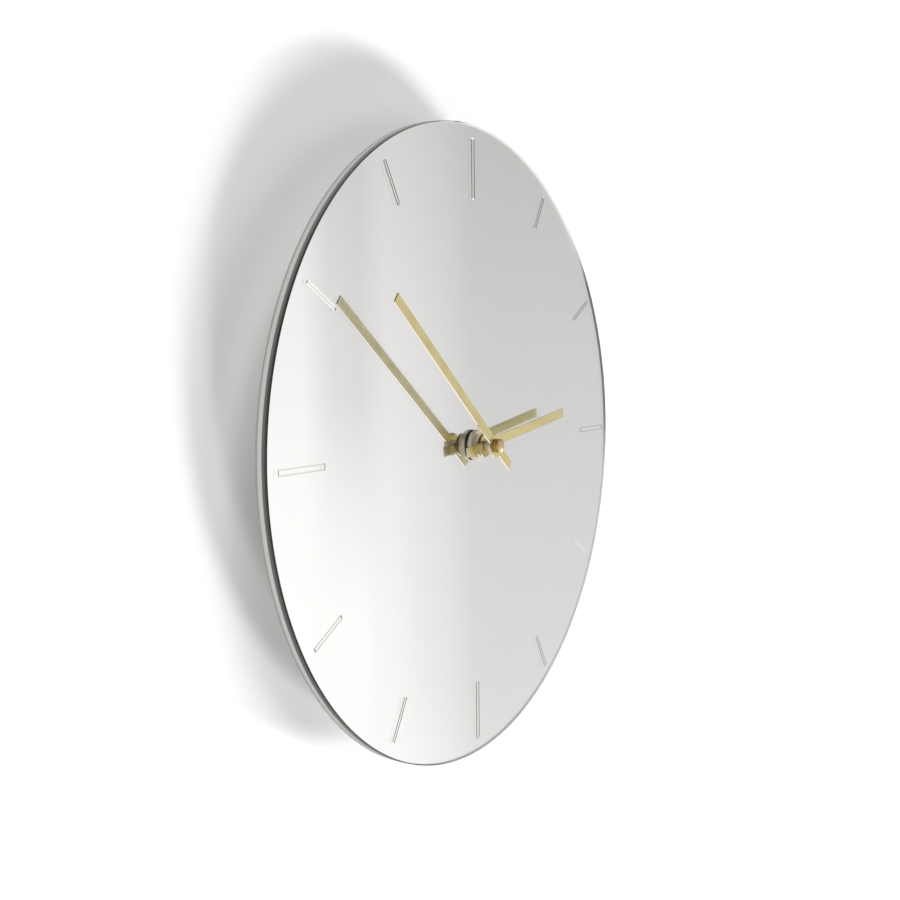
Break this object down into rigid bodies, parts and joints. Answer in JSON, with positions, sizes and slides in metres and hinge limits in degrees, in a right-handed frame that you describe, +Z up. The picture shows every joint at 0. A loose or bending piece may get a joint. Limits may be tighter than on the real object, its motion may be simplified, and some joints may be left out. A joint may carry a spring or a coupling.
{
  "type": "mirror wall clock",
  "caption": "Frameless round mirror wall clock with engraved hour marks, two brass bar hands and a battery quartz movement with its gear train and hanger behind.",
  "frame": {"origin": "where the hands' axis meets the wall, on the flat back of the movement's cover", "axes": "+X right as the viewer sees it, +Y into the wall, +Z up to the twelve o'clock mark"},
  "size_m": [0.3, 0.0386, 0.3],
  "materials": {
    "mirror_glass": "clear polished sheet, silvered on its back, engraved in front",
    "silvering": "metal film with a grey paint coat",
    "backing_board": "pale satin sheet with a sawn edge",
    "black_rubber": "moulded",
    "zinc_plated_steel": "stamped and zinc plated",
    "nickel_plate": "satin nickel plate",
    "brushed_brass": "brushed along the length",
    "polished_brass": "turned and polished",
    "black_plastic": "moulded, fine texture",
    "white_plastic": "moulded acetal",
    "magnet": "sintered, nickel-grey",
    "soft_iron": "stamped",
    "copper_wire": "enamelled winding",
    "board_laminate": "green laminate",
    "black_resin": "potted",
    "crystal_can": "drawn can",
    "cell_jacket": "plain dark jacket",
    "contact_metal": "nickel-plated strip"
  },
  "bodies": {
    "clock": {"mirror_sheet": "mirror_glass", "silver_film": "silvering", "backing_sheet": "backing_board", "gasket": "black_rubber", "hanger": "zinc_plated_steel", "washer": "nickel_plate", "hex_nut": "nickel_plate", "threaded_bush": "nickel_plate", "front_case": "black_plastic", "rear_cover": "black_plastic", "train_plate": "white_plastic", "stator": "soft_iron", "coil_core": "soft_iron", "coil_bobbin": "white_plastic", "coil_winding": "copper_wire", "circuit_board": "board_laminate", "chip": "black_resin", "quartz_crystal": "crystal_can", "positive_contact": "contact_metal", "negative_contact": "contact_metal"},
    "minute": {"minute_arbor": "polished_brass", "minute_collet": "nickel_plate", "minute_hand": "brushed_brass", "hand_nut": "polished_brass"},
    "hour": {"hour_wheel": "white_plastic", "hour_collet": "brushed_brass", "hour_hand": "brushed_brass"},
    "motion": {"minute_wheel": "white_plastic"},
    "setting": {"setting_stem": "white_plastic", "setting_knob": "black_plastic"},
    "centre": {"centre_wheel": "white_plastic"},
    "third": {"third_wheel": "white_plastic"},
    "seconds": {"seconds_wheel": "white_plastic"},
    "intermediate": {"intermediate_wheel": "white_plastic"},
    "rotor": {"rotor_pinion": "white_plastic", "rotor_magnet": "magnet"},
    "cell": {"cell_can": "cell_jacket", "cell_cap": "contact_metal"}
  },
  "joints": [
    {"name": "minute_spin", "type": "hinge", "parent": "clock", "child": "minute", "pos_m": [0, 0, 0], "axis": [0, 1, 0], "continuous": true},
    {"name": "hour_spin", "type": "hinge", "parent": "clock", "child": "hour", "pos_m": [0, 0, 0], "axis": [0, 1, 0], "continuous": true},
    {"name": "motion_spin", "type": "hinge", "parent": "clock", "child": "motion", "pos_m": [-0.0096, 0, 0], "axis": [0, 1, 0], "continuous": true},
    {"name": "setting_spin", "type": "hinge", "parent": "clock", "child": "setting", "pos_m": [-0.0144, 0, 0.00831], "axis": [0, 1, 0], "continuous": true},
    {"name": "seconds_spin", "type": "hinge", "parent": "clock", "child": "seconds", "pos_m": [0, 0, 0], "axis": [0, 1, 0], "continuous": true},
    {"name": "third_spin", "type": "hinge", "parent": "clock", "child": "third", "pos_m": [0.00799, 0, 0.00291], "axis": [0, 1, 0], "continuous": true},
    {"name": "centre_spin", "type": "hinge", "parent": "clock", "child": "centre", "pos_m": [0, 0, 0], "axis": [0, 1, 0], "continuous": true},
    {"name": "intermediate_spin", "type": "hinge", "parent": "clock", "child": "intermediate", "pos_m": [0, 0, 0.00875], "axis": [0, 1, 0], "continuous": true},
    {"name": "rotor_spin", "type": "hinge", "parent": "clock", "child": "rotor", "pos_m": [0.003, 0, 0.01395], "axis": [0, 1, 0], "continuous": true},
    {"name": "cell_slide", "type": "slide", "parent": "clock", "child": "cell", "axis": [0, 1, 0], "range_m": [0, 0.02]}
  ],
  "couplings": [
    {"joint": "hour_spin", "follows": "minute_spin", "ratio": 0.083333},
    {"joint": "motion_spin", "follows": "minute_spin", "ratio": -0.33333},
    {"joint": "setting_spin", "follows": "minute_spin", "ratio": 1},
    {"joint": "third_spin", "follows": "seconds_spin", "ratio": -0.13333},
    {"joint": "centre_spin", "follows": "seconds_spin", "ratio": 0.016667},
    {"joint": "intermediate_spin", "follows": "seconds_spin", "ratio": -6},
    {"joint": "rotor_spin", "follows": "seconds_spin", "ratio": 30}
  ]
}
